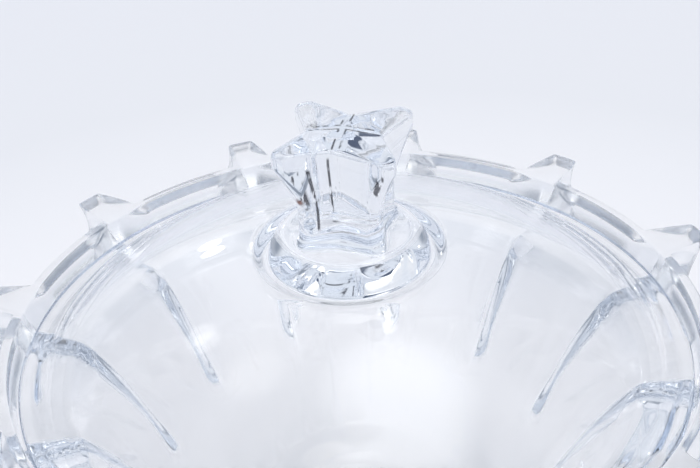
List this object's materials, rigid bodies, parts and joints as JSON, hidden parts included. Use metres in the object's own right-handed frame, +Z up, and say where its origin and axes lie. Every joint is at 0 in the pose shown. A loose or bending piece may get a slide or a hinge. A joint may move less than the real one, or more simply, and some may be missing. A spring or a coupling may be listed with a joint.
{
  "type": "candy bowl",
  "caption": "Covered candy bowl of clear pressed glass: fluted bowl with a crown of pointed teeth, domed lid that lifts out of a recessed rim, star-shaped knob.",
  "frame": {"origin": "middle of the foot ring, on the surface that the bowl stands on", "axes": "+Z up along the axis of the bowl, lid and knob; +X towards one tooth of the rim"},
  "size_m": [0.1816, 0.1816, 0.1294],
  "materials": {
    "bowl_glass": "clear pressed glass, fire-polished, faint cool tint",
    "lid_glass": "clear pressed glass, smooth dome, faint cool tint",
    "knob_glass": "clear pressed glass with mould marks on its upright sides"
  },
  "bodies": {
    "bowl_body": {"bowl": "bowl_glass"},
    "lid_body": {"lid": "lid_glass", "star_knob": "knob_glass"}
  },
  "joints": [
    {"name": "lid_lift", "type": "slide", "parent": "bowl_body", "child": "lid_body", "axis": [0, 0, 1], "range_m": [0, 0.09]}
  ]
}
